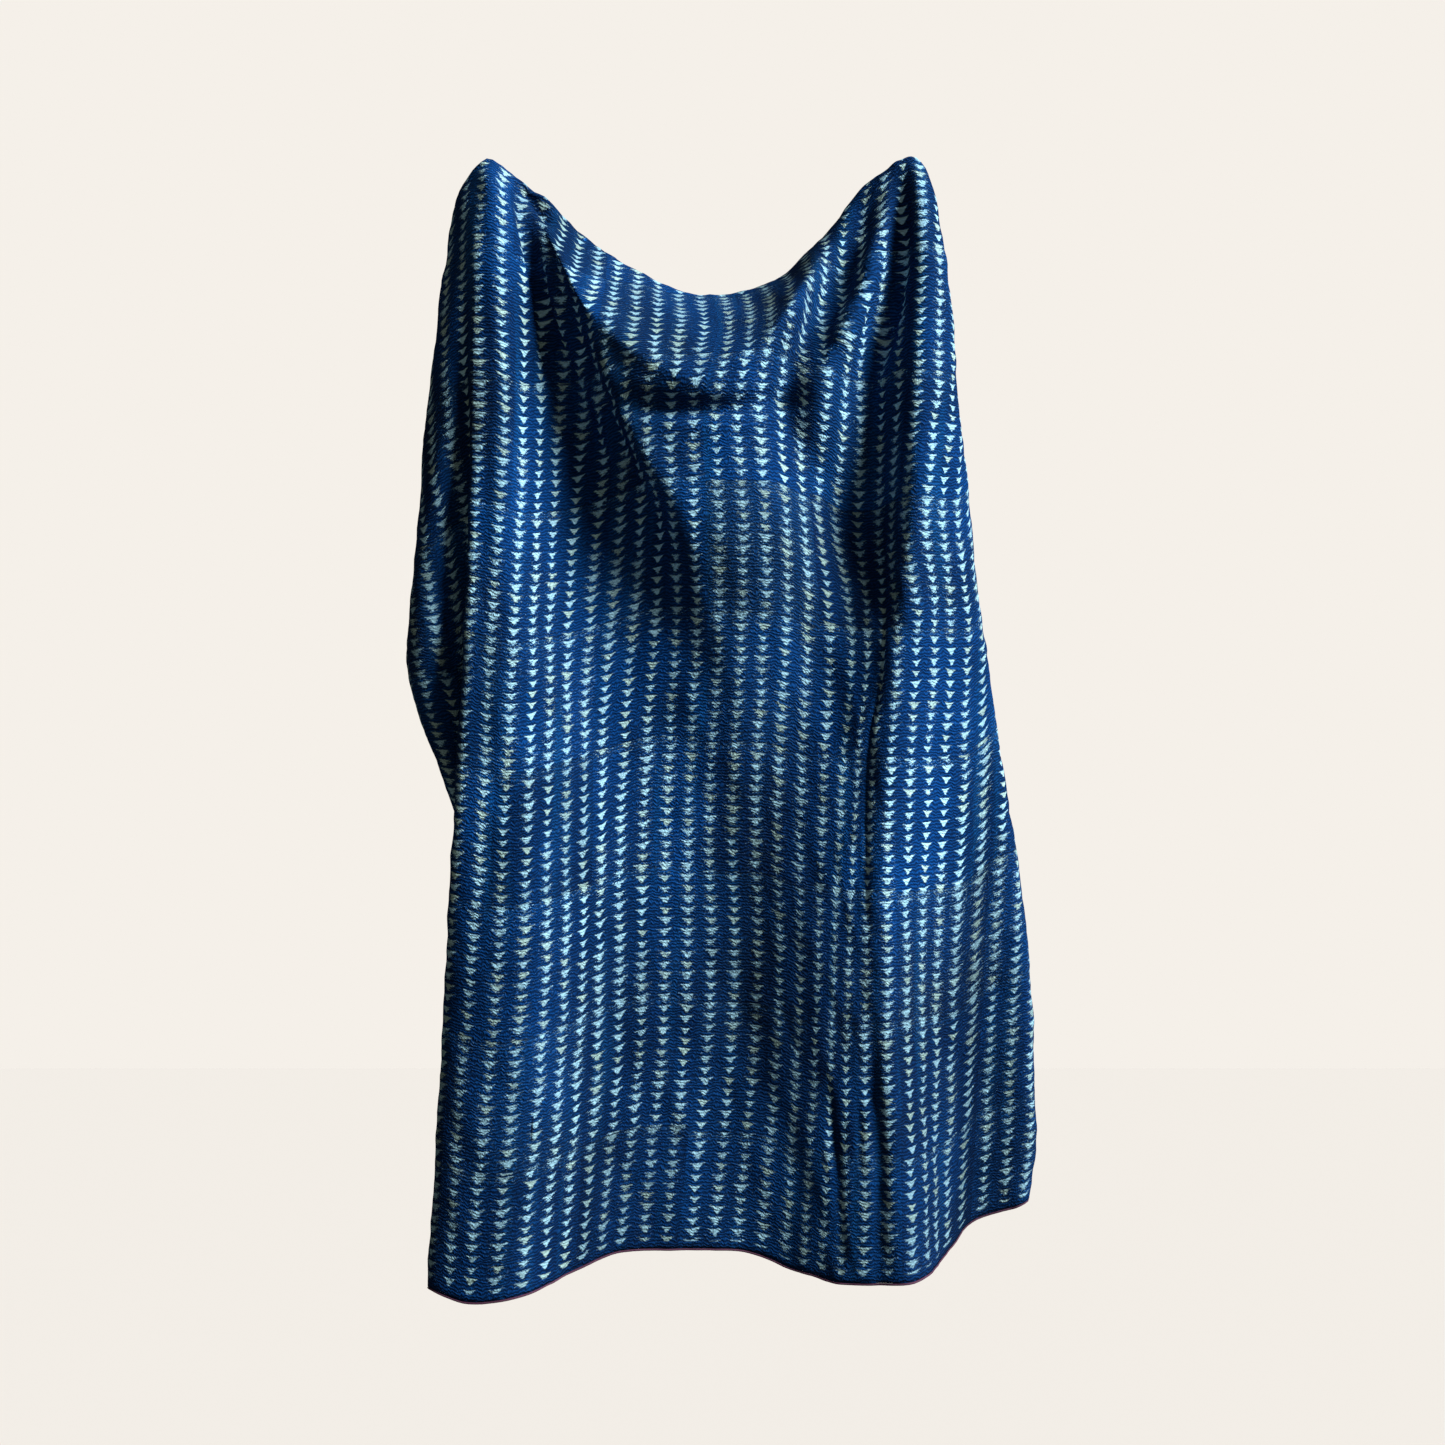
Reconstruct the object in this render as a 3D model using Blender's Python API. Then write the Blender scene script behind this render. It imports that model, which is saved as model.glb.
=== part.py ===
"""Kantha throw: one quilted cotton cloth with a narrow sewn binding, hung from two holding points.

The throw hangs by its top fold. Between the two points the fold sags and the cloth lies in a
forward swag. Below it the front falls in long soft folds to a wavy hem, both sides turn back
behind the front, and the rest of the length falls behind as a shorter flap.

The frame has its origin at the left holding point, with +X to the right, +Y away from the
viewer and +Z up. Sizes are in metres, except the fold tables, which are in millimetres.
"""

import math

import bpy
import numpy as np

MM = 0.001

# Cut size, thickness and binding
CLOTH_WIDTH = 1.27
CLOTH_LENGTH = 1.78
CLOTH_THICKNESS = 0.0024
LEFT_OF_EDGE_FOLD = 0.225
BINDING_WIDTH = 0.003
BINDING_THICKNESS = 0.003
BINDING_GAP = 0.0008
# The farthest that the binding's corner reaches, as a multiple of its width
BINDING_MITRE = 1.6

# The eye from which the tables' widths and heights are seen, in the plane of the holding points
EYE_ACROSS = 0.293
EYE_DOWN = 0.707
EYE_DISTANCE = 2.4

# The top fold and the flap behind it
FOLD_RADIUS = 0.006
FOLD_RISE = 0.006
FOLD_STEPS = 4
FLAP_STEPS = 7
FLAP_PLEAT_WIDTH = 0.118
FLAP_PLEAT_DEPTH = 0.009
FLAP_PLEAT_START = 0.15

SECTION_POINTS = 400

# Levels down the front, as shares of the drop from the crease under the swag to the hem
LEVELS = ("top", "shelf", "bulge", "crease", "chest", "waist", "middle", "lower", "hem")
BELOW_CREASE = {"crease": 0.0, "chest": 0.14, "waist": 0.27, "middle": 0.46, "lower": 0.70, "hem": 1.0}
# Share of a level's own slope that the rows of the print follow, left and right of the low point
ROWS_FOLLOW = {
    # side          top  shelf bulge crease chest waist middle lower hem
    "left": (1.00, 0.70, 0.45, 1.0, 1.0, 1.0, 1.0, 1.0, 1.0),
    "right": (0.67, 0.58, 0.45, 1.0, 1.0, 1.0, 1.0, 1.0, 1.0),
}
LOW_POINT = "swag_low"
LEVEL_AT = (0.0, 0.04, 0.09, 0.20, 0.315, 0.42, 0.57, 0.78, 1.0)
ROWS_BETWEEN_LEVELS = (2, 4, 5, 3, 4, 4, 5, 5)

# Columns of the mesh, closer together over the left pleat, and from the right valley to the right turn
WIDE_COLUMN = 0.027
CLOSE_COLUMN = 0.0145
CLOSE_COLUMNS = ((-0.165, 0.055), (0.46, 0.73))

# Distance to the right of the left holding point
ACROSS = {
    # fold           top  shelf bulge crease chest waist middle lower hem
    "left_hidden": (88, 82, 75, 58, 46, 42, 95, 92, 80),
    "left_behind": (-12, -22, -30, -50, -61, -68, -8, -10, -22),
    "left_turn": (-36, -48, -55, -79, -89, -98, -38, -40, -52),
    "left_strip": (-26, -34, -39, -55, -67, -72, -27, -32, -45),
    "left_pleat": (-18, -22, -25, -24, -18, -16, -8, -15, -32),
    "left_edge": (-9, -12, -16, -20, -23, -29, -41, -55, -75),
    "left_face": (-5, -5, -5, -5, -5, -5, -5, -12, -25),
    "left_ridge": (1, 3, 8, 16, 22, 30, 48, 55, 35),
    "left_wall": (19, 30, 45, 81, 99, 112, 160, 150, 100),
    "left_foot": (28, 42, 58, 118, 175, 202, 232, 215, 160),
    "left_shoulder": (68, 70, 84, 153, 236, 280, 285, 280, 235),
    "swag_left": (118, 120, 128, 200, 277, 312, 318, 315, 278),
    "swag_low_left": (196, 185, 190, 252, 313, 340, 345, 340, 318),
    "swag_low": (271, 268, 265, 296, 335, 360, 364, 360, 350),
    "swag_low_right": (352, 345, 340, 324, 357, 380, 386, 382, 378),
    "swag_right": (430, 415, 400, 350, 378, 396, 404, 404, 405),
    "right_hollow": (468, 468, 436, 374, 408, 424, 428, 424, 432),
    "right_rib": (492, 498, 472, 416, 442, 452, 450, 445, 467),
    "right_valley": (511, 517, 503, 476, 485, 484, 470, 468, 496),
    "right_ridge": (531, 539, 544, 538, 532, 518, 498, 500, 532),
    "right_step": (544, 552, 562, 569, 576, 578, 575, 574, 576),
    "right_side": (549, 559, 571, 581, 594, 604, 616, 620, 606),
    "right_turn": (551, 561, 574, 586, 601, 614, 641, 672, 685),
    "right_behind": (524, 534, 547, 560, 575, 588, 615, 646, 660),
    "right_hidden": (440, 448, 458, 470, 485, 498, 525, 556, 570),
}

# Distance below the holding points
DOWN = {
    # fold           top  shelf bulge crease hem
    "left_hidden": (125, 160, 205, 390, 1385),
    "left_behind": (75, 116, 168, 372, 1392),
    "left_turn": (49, 94, 148, 354, 1405),
    "left_strip": (26, 69, 131, 335, 1416),
    "left_pleat": (14, 51, 124, 316, 1421),
    "left_edge": (5, 39, 119, 304, 1412),
    "left_face": (1, 34, 117, 300, 1431),
    "left_ridge": (0, 31, 116, 298, 1424),
    "left_wall": (9, 49, 126, 304, 1395),
    "left_foot": (17, 59, 144, 308, 1368),
    "left_shoulder": (43, 72, 122, 310, 1364),
    "swag_left": (93, 132, 179, 315, 1364),
    "swag_low_left": (144, 180, 229, 319, 1366),
    "swag_low": (168, 206, 254, 318, 1375),
    "swag_low_right": (152, 186, 224, 311, 1388),
    "swag_right": (84, 120, 158, 304, 1396),
    "right_hollow": (36, 81, 159, 291, 1405),
    "right_rib": (19, 64, 159, 291, 1408),
    "right_valley": (6, 49, 154, 291, 1408),
    "right_ridge": (-4, 34, 131, 291, 1406),
    "right_step": (4, 41, 134, 291, 1364),
    "right_side": (14, 54, 139, 294, 1329),
    "right_turn": (26, 69, 149, 298, 1304),
    "right_behind": (58, 100, 176, 310, 1298),
    "right_hidden": (140, 172, 232, 345, 1290),
}

# Distance in front of the plane of the holding points
FORWARD = {
    # fold           top  shelf bulge crease chest waist middle lower hem
    "left_hidden": (-58, -62, -68, -76, -81, -84, -86, -84, -70),
    "left_behind": (-44, -48, -54, -62, -67, -70, -72, -70, -58),
    "left_turn": (-8, -6, -2, 12, 32, 42, -34, -38, -30),
    "left_strip": (4, 14, 24, 42, 51, 60, -18, -22, -8),
    "left_pleat": (8, 25, 37, 44, 36, 28, -10, -8, 12),
    "left_edge": (10, 32, 48, 64, 80, 88, 87, 76, 84),
    "left_face": (11, 37, 51, 66, 82, 91, 95, 102, 110),
    "left_ridge": (12, 40, 55, 71, 85, 93, 98, 106, 114),
    "left_wall": (6, 20, 36, 20, 15, 28, 39, 42, 72),
    "left_foot": (2, 12, 28, 10, 19, 30, 30, 36, 50),
    "left_shoulder": (-8, 8, 60, 80, 86, 61, 38, 36, 46),
    "swag_left": (-24, 22, 76, 83, 90, 64, 46, 36, 46),
    "swag_low_left": (-42, 22, 86, 87, 91, 61, 48, 44, 47),
    "swag_low": (-48, 24, 89, 88, 89, 57, 51, 52, 52),
    "swag_low_right": (-40, 20, 81, 84, 84, 52, 56, 60, 61),
    "swag_right": (-22, 14, 56, 73, 70, 48, 60, 68, 74),
    "right_hollow": (-8, 4, 20, 57, 38, 43, 66, 74, 87),
    "right_rib": (0, 18, 50, 76, 4, 46, 71, 79, 98),
    "right_valley": (6, 8, 10, 12, 10, 59, 76, 84, 106),
    "right_ridge": (8, 26, 40, 62, 76, 80, 86, 88, 110),
    "right_step": (4, 14, 26, 42, 42, 40, 34, 24, -16),
    "right_side": (-2, 6, 16, 26, 19, 14, 14, 10, -34),
    "right_turn": (-12, -6, 0, 0, -7, -8, 2, 4, -36),
    "right_behind": (-58, -64, -72, -84, -88, -88, -92, -98, -112),
    "right_hidden": (-104, -106, -108, -112, -115, -115, -112, -115, -122),
}

# Width of cloth up to each fold beyond the length of its level's smooth section: more where small
# puckers take cloth up, and less where the section swings wider than the cloth does
TAKEN_UP = {
    # fold           top shelf bulge crease chest waist middle lower hem
    "left_face": (0, 0, 0, -6, 0, 2, 0, -5, 4),
    "left_ridge": (0, 0, 0, -7, 0, 5, 2, -9, -3),
    "left_wall": (0, 0, 0, 0, 0, 10, 25, -2, -6),
    "left_foot": (0, 0, 0, -4, 0, 14, 26, 0, 6),
    "left_shoulder": (0, 0, 0, -15, -6, 17, 32, 3, 10),
    "swag_left": (0, 0, 3, -9, -7, 20, 32, 3, 11),
    "swag_low_left": (0, 3, 3, -7, -6, 22, 33, 3, 13),
    "swag_low": (3, 3, 12, -2, -6, 23, 35, 3, 11),
    "swag_low_right": (12, 12, 13, 0, -4, 24, 35, 5, 9),
    "swag_right": (12, 20, 10, -3, -3, 25, 37, 9, 15),
    "right_hollow": (0, 30, 13, -10, -7, 25, 41, 18, 21),
    "right_rib": (9, 34, 6, -12, -10, 27, 50, 32, 24),
    "right_valley": (9, 31, -10, -28, -9, 41, 65, 41, 22),
    "right_ridge": (23, 28, -10, -25, -12, 57, 75, 44, 21),
    "right_step": (23, 28, -10, -25, -12, 59, 74, 49, -25),
    "right_side": (23, 28, -10, -27, -12, 59, 74, 48, -31),
    "right_turn": (23, 28, -10, -27, -12, 59, 74, 50, -30),
    "right_behind": (15, 18, -7, -18, -8, 39, 50, 33, -20),
    "right_hidden": (8, 9, -3, -9, -4, 20, 25, 17, -10),
}


def clear_scene():
    for thing in list(bpy.data.objects):
        bpy.data.objects.remove(thing, do_unlink=True)


def smooth(knots, values, at):
    """A smooth curve through the values at the knots, read at the places asked for."""
    step = np.diff(knots)[:, None]
    slope = np.diff(values, axis=0) / step
    tangent = np.concatenate([slope[:1], slope[:1], slope[1:]])
    tangent[1:-1] = (slope[:-1] * step[1:] + slope[1:] * step[:-1]) / (step[:-1] + step[1:])
    span = np.clip(np.searchsorted(knots, at, side="right") - 1, 0, len(knots) - 2)
    part = ((at - knots[span]) / step[span, 0])[:, None]
    start, end = values[span], values[span + 1]
    leave, arrive = tangent[span] * step[span], tangent[span + 1] * step[span]
    rest = 1.0 - part
    return (
        start * (1 + 2 * part) * rest**2
        + end * (3 - 2 * part) * part**2
        + leave * part * rest**2
        - arrive * part**2 * rest
    )


def in_space(across, down, forward):
    """The point in metres that is seen at this place, this far in front of the holding points."""
    scale = (EYE_DISTANCE - forward) / EYE_DISTANCE
    return np.stack(
        [
            EYE_ACROSS + (across - EYE_ACROSS) * scale,
            -forward,
            (EYE_DOWN - down) * scale - EYE_DOWN,
        ],
        axis=-1,
    )


def fold_points():
    """The points of every fold at every level, as an array of folds by levels by three."""
    share = np.array(list(BELOW_CREASE.values()))
    points = []
    for fold, across in ACROSS.items():
        top, shelf, bulge, crease, hem = DOWN[fold]
        below = crease + share * (hem - crease)
        down = np.concatenate([[top + FOLD_RISE / MM, shelf, bulge], below])
        points.append(in_space(np.array(across) * MM, down * MM, np.array(FORWARD[fold]) * MM))
    return np.array(points)


def outline(points):
    """A level's smooth section through its folds: points, distances along it, and the folds' own."""
    chord = np.linalg.norm(np.diff(points, axis=0), axis=1)
    knots = np.concatenate([[0.0], np.cumsum(np.sqrt(chord))])
    places = np.unique(np.concatenate([knots, np.linspace(0.0, knots[-1], SECTION_POINTS)]))
    curve = smooth(knots, points, places)
    along = np.concatenate([[0.0], np.cumsum(np.linalg.norm(np.diff(curve, axis=0), axis=1))])
    at_folds = along[np.searchsorted(places, knots)]
    edge_fold = list(ACROSS).index("left_edge")
    return curve, along - at_folds[edge_fold], at_folds - at_folds[edge_fold]


def section(points, fold_widths, widths):
    """One row of the cloth, read at these distances across it from the left edge fold."""
    curve, along, at_folds = outline(points)
    along = np.interp(along, at_folds, fold_widths)
    # Past the last folds the hidden cloth runs on inward, level in depth
    ends = np.array([curve[0] - points[1], curve[-1] - points[-2]]) * [1, 0, 1]
    ends *= CLOTH_WIDTH / np.linalg.norm(ends, axis=1)[:, None]
    curve = np.concatenate([[curve[0] + ends[0]], curve, [curve[-1] + ends[1]]])
    along = np.concatenate([[along[0] - CLOTH_WIDTH], along, [along[-1] + CLOTH_WIDTH]])
    return np.stack([np.interp(widths, along, curve[:, axis]) for axis in range(3)], axis=1)


def column_places():
    """Distances of the mesh's columns across the cloth from the left edge fold."""
    start, last = -LEFT_OF_EDGE_FOLD, CLOTH_WIDTH - LEFT_OF_EDGE_FOLD
    places = []
    for close_from, close_to in CLOSE_COLUMNS:
        wide = round((close_from - start) / WIDE_COLUMN)
        close = round((close_to - close_from) / CLOSE_COLUMN)
        places.extend(np.linspace(start, close_from, wide, endpoint=False))
        places.extend(np.linspace(close_from, close_to, close, endpoint=False))
        start = close_to
    places.extend(np.linspace(start, last, round((last - start) / WIDE_COLUMN) + 1))
    return np.array(places)


def level_places():
    places = []
    for start, end, rows in zip(LEVEL_AT, LEVEL_AT[1:], ROWS_BETWEEN_LEVELS):
        places.extend(np.linspace(start, end, rows, endpoint=False))
    return np.array(places + [LEVEL_AT[-1]])


def level_widths(folds, level):
    """Distances of the folds across the cloth at a level, whose slope the rows follow in part."""
    taken_up = np.array([TAKEN_UP[fold][level] if fold in TAKEN_UP else 0 for fold in ACROSS]) * MM
    low = list(ACROSS).index(LOW_POINT)
    follow = np.full(len(folds), ROWS_FOLLOW["right"][level])
    follow[:low] = ROWS_FOLLOW["left"][level]
    points = folds[:, level].copy()
    points[:, 2] = points[low, 2] + (points[:, 2] - points[low, 2]) * follow
    return outline(points)[2] + taken_up


def front_rows(widths, levels):
    """Rows of points down the front, from the top fold to the hem."""
    folds = fold_points()
    knots = np.array(LEVEL_AT)
    paths = np.array([smooth(knots, fold, levels) for fold in folds])
    fold_widths = np.array([level_widths(folds, level) for level in range(len(LEVELS))])
    fold_widths = smooth(knots, fold_widths, levels)
    return np.array([section(paths[:, row], fold_widths[row], widths) for row in range(len(levels))])


def flap_rows(front, widths):
    """Rows over the top fold and down the flap behind, whose length is what the front leaves."""
    front_length = np.linalg.norm(np.diff(front, axis=0), axis=2).sum(axis=0)
    tangent = np.gradient(front[0], widths, axis=0)
    inward = np.stack([-tangent[:, 1], tangent[:, 0], np.zeros(len(widths))], axis=1)
    inward /= np.linalg.norm(inward, axis=1)[:, None]
    upward = front[0] - front[1]
    start = np.arctan2(upward[:, 2], (upward * inward).sum(axis=1))
    turn = (start + math.pi / 2) / FOLD_STEPS
    rows = [front[0]]
    for step in range(FOLD_STEPS):
        angle = (start - (step + 0.5) * turn)[:, None]
        heading = inward * np.cos(angle) + np.array([0, 0, 1]) * np.sin(angle)
        rows.append(rows[-1] + heading * (FOLD_RADIUS * turn)[:, None])
    over = np.linalg.norm(np.diff(rows, axis=0), axis=2).sum(axis=0)
    drop = CLOTH_LENGTH - front_length - over
    pleat = np.sin(2 * math.pi * widths / FLAP_PLEAT_WIDTH)
    hang = rows[-1]
    for step in range(1, FLAP_STEPS + 1):
        fallen = drop * step / FLAP_STEPS
        swell = FLAP_PLEAT_DEPTH * np.clip(fallen / FLAP_PLEAT_START, 0, 1) * pleat
        rows.append(hang + inward * swell[:, None] - np.array([0, 0, 1]) * fallen[:, None])
    return np.array(rows[1:])


def cloth_rows():
    """The middle surface of the whole cloth, from the flap's hem over the fold to the front hem."""
    widths = column_places()
    front = front_rows(widths, level_places())
    return np.concatenate([flap_rows(front, widths)[::-1], front])


def falling_splits(rows):
    """Whether each square of the grid lies closer to the cloth when split down to the right."""
    down, across = rows.shape[0] - 1, rows.shape[1] - 1
    widths, levels = column_places(), level_places()
    middles = front_rows((widths[1:] + widths[:-1]) / 2, (levels[1:] + levels[:-1]) / 2)
    squares = rows[-len(levels) :]
    falling = np.linalg.norm((squares[:-1, :-1] + squares[1:, 1:]) / 2 - middles, axis=2)
    rising = np.linalg.norm((squares[1:, :-1] + squares[:-1, 1:]) / 2 - middles, axis=2)
    splits = np.ones((down, across), dtype=bool)
    splits[-len(middles) :] = falling <= rising
    return splits


def finish(name, colour, roughness):
    material = bpy.data.materials.new(name)
    material.use_nodes = True
    shader = material.node_tree.nodes["Principled BSDF"]
    shader.inputs["Base Color"].default_value = colour
    shader.inputs["Roughness"].default_value = roughness
    shader.inputs["Metallic"].default_value = 0.0
    return material


def add_object(name, points, faces, material):
    mesh = bpy.data.meshes.new(name)
    mesh.from_pydata([tuple(point) for point in points], [], faces)
    mesh.materials.append(material)
    mesh.shade_smooth()
    thing = bpy.data.objects.new(name, mesh)
    bpy.context.scene.collection.objects.link(thing)
    return thing


def surface_normals(rows):
    """The unit normal of the middle surface at each point of its grid."""
    normals = np.cross(np.gradient(rows, axis=0), np.gradient(rows, axis=1))
    return normals / np.linalg.norm(normals, axis=2)[:, :, None]


def edge_walk(down, across):
    """The grid places round the cloth's edge, in order."""
    walk = [(0, j) for j in range(across)]
    walk += [(i, across - 1) for i in range(1, down)]
    walk += [(down - 1, j) for j in range(across - 2, -1, -1)]
    walk += [(i, 0) for i in range(down - 2, 0, -1)]
    return walk


def add_cloth(rows, normals):
    """The cloth: a front and a back surface over one grid, joined round the edge."""
    down, across = rows.shape[:2]
    splits = falling_splits(rows)
    half = CLOTH_THICKNESS / 2
    points = np.concatenate([(rows + normals * half).reshape(-1, 3), (rows - normals * half).reshape(-1, 3)])
    behind = down * across
    faces = []
    for i in range(down - 1):
        for j in range(across - 1):
            corner = i * across + j
            below, opposite, beside = corner + across, corner + across + 1, corner + 1
            if splits[i, j]:
                halves = (corner, below, opposite), (corner, opposite, beside)
            else:
                halves = (corner, below, beside), (beside, below, opposite)
            for triangle in halves:
                faces.append(triangle)
                faces.append(tuple(behind + place for place in reversed(triangle)))
    walk = [i * across + j for i, j in edge_walk(down, across)]
    for here, following in zip(walk, walk[1:] + walk[:1]):
        faces.append((here, following, behind + following, behind + here))
    material = finish("indigo_cotton", (0.012, 0.055, 0.17, 1.0), 0.9)
    return add_object("throw_cloth", points, faces, material)


def add_binding(rows, normals):
    """The narrow binding sewn round the whole edge, just clear of the cloth that it closes."""
    walk = edge_walk(*rows.shape[:2])
    half = BINDING_THICKNESS / 2
    edge = np.array([rows[place] for place in walk])
    facing = np.array([normals[place] for place in walk])
    # Each straight run of the edge has its own direction out of the cloth, and a point has both runs'
    runs = np.roll(edge, -1, axis=0) - edge
    outward = np.cross(facing, runs)
    outward /= np.linalg.norm(outward, axis=1)[:, None]
    outward = outward + np.roll(outward, 1, axis=0)
    both = np.linalg.norm(outward, axis=1)[:, None]
    outward /= np.maximum(both**2 / 2, both / BINDING_MITRE)
    points, faces = [], []
    for point, out, normal in zip(edge, outward, facing):
        for reach, side in ((0, -half), (BINDING_WIDTH, -half), (BINDING_WIDTH, half), (0, half)):
            points.append(point + out * (BINDING_GAP + reach) + normal * side)
    for ring in range(len(walk)):
        following = (ring + 1) % len(walk)
        for corner in range(4):
            beside = (corner + 1) % 4
            faces.append(
                (4 * ring + corner, 4 * ring + beside, 4 * following + beside, 4 * following + corner)
            )
    return add_object("edge_binding", points, faces, finish("plum_binding", (0.07, 0.016, 0.035, 1.0), 0.8))


def build():
    clear_scene()
    rows = cloth_rows()
    normals = surface_normals(rows)
    add_cloth(rows, normals)
    add_binding(rows, normals)


build()
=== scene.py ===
"""Looks of the kantha throw: the hung cloth with its block print and stitching, and its binding.

The throw hangs by its top fold from its left and right holding points. The origin is the left
one, with +X to the right, +Y away from the viewer and +Z up. Sizes are in metres, except the
fold tables, which are in millimetres.
"""

import math
import random

import bpy
import numpy as np
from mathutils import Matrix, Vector

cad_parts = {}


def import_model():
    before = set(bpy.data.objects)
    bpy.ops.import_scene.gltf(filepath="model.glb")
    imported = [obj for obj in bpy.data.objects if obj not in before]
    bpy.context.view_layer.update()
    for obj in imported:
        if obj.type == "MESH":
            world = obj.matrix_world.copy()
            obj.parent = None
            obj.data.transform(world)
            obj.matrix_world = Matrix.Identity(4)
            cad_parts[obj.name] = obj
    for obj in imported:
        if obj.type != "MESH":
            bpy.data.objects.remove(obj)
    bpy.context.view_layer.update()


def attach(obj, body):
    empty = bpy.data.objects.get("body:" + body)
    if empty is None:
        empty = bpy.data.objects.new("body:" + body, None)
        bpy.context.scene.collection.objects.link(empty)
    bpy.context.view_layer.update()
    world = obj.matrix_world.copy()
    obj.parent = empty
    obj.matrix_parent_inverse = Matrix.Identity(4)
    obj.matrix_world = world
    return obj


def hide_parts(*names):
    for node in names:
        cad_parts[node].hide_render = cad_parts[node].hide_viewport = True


MM = 0.001

# Cut size and thickness of the cloth
CLOTH_WIDTH = 1.27
CLOTH_LENGTH = 1.78
CLOTH_THICKNESS = 0.0024
LEFT_OF_EDGE_FOLD = 0.225

# The eye from which the tables' widths and heights are seen, in the plane of the holding points
EYE_ACROSS = 0.293
EYE_DOWN = 0.707
EYE_DISTANCE = 2.4

# The top fold and the flap behind it
FOLD_RADIUS = 0.006
FOLD_RISE = 0.006
FOLD_STEPS = 8
FLAP_STEPS = 26
FLAP_PLEAT_WIDTH = 0.118
FLAP_PLEAT_DEPTH = 0.009
FLAP_PLEAT_START = 0.15

SECTION_POINTS = 400

# Levels down the front, as shares of the drop from the crease under the swag to the hem
LEVELS = ("top", "shelf", "bulge", "crease", "chest", "waist", "middle", "lower", "hem")
BELOW_CREASE = {"crease": 0.0, "chest": 0.14, "waist": 0.27, "middle": 0.46, "lower": 0.70, "hem": 1.0}
# Share of a level's own slope that the rows of the print follow, left and right of the low point
ROWS_FOLLOW = {
    # side          top  shelf bulge crease chest waist middle lower hem
    "left": (1.00, 0.70, 0.45, 1.0, 1.0, 1.0, 1.0, 1.0, 1.0),
    "right": (0.67, 0.58, 0.45, 1.0, 1.0, 1.0, 1.0, 1.0, 1.0),
}
LOW_POINT = "swag_low"
LEVEL_AT = (0.0, 0.04, 0.09, 0.20, 0.315, 0.42, 0.57, 0.78, 1.0)

# The mesh of the cloth, finer than the solid's: columns, the parts across the cloth where they lie
# twice as close, rows down the front, and the lengths between levels that the rows are shared out by
COLUMNS = 180
CLOSE_PARTS = ((0.53, 0.64),)
FRONT_ROWS = 202
LENGTHS_BETWEEN_LEVELS = (0.04, 0.06, 0.14, 0.11, 0.17, 0.21, 0.27, 0.33)

# The binding's section and its distance outside the cloth's edge
BINDING_WIDTH = 0.0026
BINDING_THICKNESS = 0.0030
BINDING_GAP = 0.0003
BINDING_SIDES = 8
# How much wider the eight-sided section is drawn, so that its flat sides reach the full width
BINDING_SWELL = 1.08

# The block print: triangles in columns, in blocks of columns and rows
COLUMN_PITCH = 0.0295
FIRST_COLUMN = 0.006
ROW_PITCH = 0.01333
BLOCK_COLUMNS = 5
BLOCK_ROWS = 12
FIRST_BLOCK = 2.0
FIRST_BLOCK_ROW = 10.7
TRIANGLE_WIDTH = 0.0168
TRIANGLE_HEIGHT = 0.0089
PLAIN_HEM = 0.009
RIB_PITCH = 0.0042

# Colours, as linear red, green and blue
INDIGO = (0.0008, 0.054, 0.228)
DEEP_INDIGO = (0.0004, 0.028, 0.118)
WORN_INDIGO = (0.005, 0.104, 0.32)
HAZE_INDIGO = (0.008, 0.090, 0.270)
PRINT_PALE = (0.39, 0.70, 0.84)
PRINT_WARM = (0.42, 0.63, 0.58)
PLUM = (0.055, 0.012, 0.035)
PLUM_DARKEST = 0.55
PLUM_LIGHTEST = 1.6
CREAM = (0.913, 0.871, 0.815)
FLOOR_CREAM = (0.706, 0.652, 0.598)
FILL_COLOUR = (1.0, 0.93, 0.82)
# The lower part is darker, as painted shade of the light falling off downward, with some deeper dye: its
# share, and where it starts and ends above the hem
LOWER_SHADE_AND_DYE = 0.72
LOWER_SHADE_AND_DYE_FROM = 0.30
LOWER_SHADE_AND_DYE_TO = 0.52
# How far the hollows between the ribs are shaded, and how much less where the print covers them
HOLLOW_SHADE = 0.68
HOLLOW_SHADE_LESS = 0.50
# The ribs as bump
RIB_BUMP_STRENGTH = 0.9
RIB_BUMP_DEPTH = 0.0015

# Blocks that stand out: place across and up, and how much deeper, hazier and more flecked they are
BLOCK_LOOKS = (
    # across up deep haze flecked
    (2, 4, 0.0, 0.5, 0.5),
    (2, 3, 0.14, 0.3, 0.4),
    (3, 4, 0.34, 0.0, 0.0),
    (4, 1, 0.0, 0.0, 1.0),
    (5, 1, 0.0, 0.0, 1.0),
)
# Soft patches that darken the cloth, or lighten it where less than 0, partly for uneven dye and partly as
# painted shade: middle across and up, reach across and up
DYE_AND_SHADE_PATCHES = (
    # across  up  reach across  reach up  deeper
    # Lower middle: painted shade of the light falling off downward, with some deeper dye
    (0.455, 0.380, 0.150, 0.330, 0.36),
    (0.690, 0.480, 0.110, 0.300, -0.20),
    # Down the middle: partly painted shade of the folds and partly deeper dye
    (0.440, 0.620, 0.190, 0.260, 0.14),
    (0.162, 0.730, 0.090, 0.240, 0.18),
    (0.080, 0.580, 0.110, 0.150, -0.16),
    # A small slit near the hem, drawn as a narrow dark line: painted shade in the slit
    (0.1205, 0.197, 0.0022, 0.026, 0.80),
    (0.163, 1.357, 0.0035, 0.0035, -3.0),
)

# Soft unevenness of the stitched layers: size across, size along, height. Each row is made of waves
# at random angles
UNEVEN = (
    (0.090, 0.140, 0.0011),
    (0.045, 0.060, 0.0005),
    (0.022, 0.028, 0.0003),
)
UNEVEN_WAVES = 7
UNEVEN_SEED = 11
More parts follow.
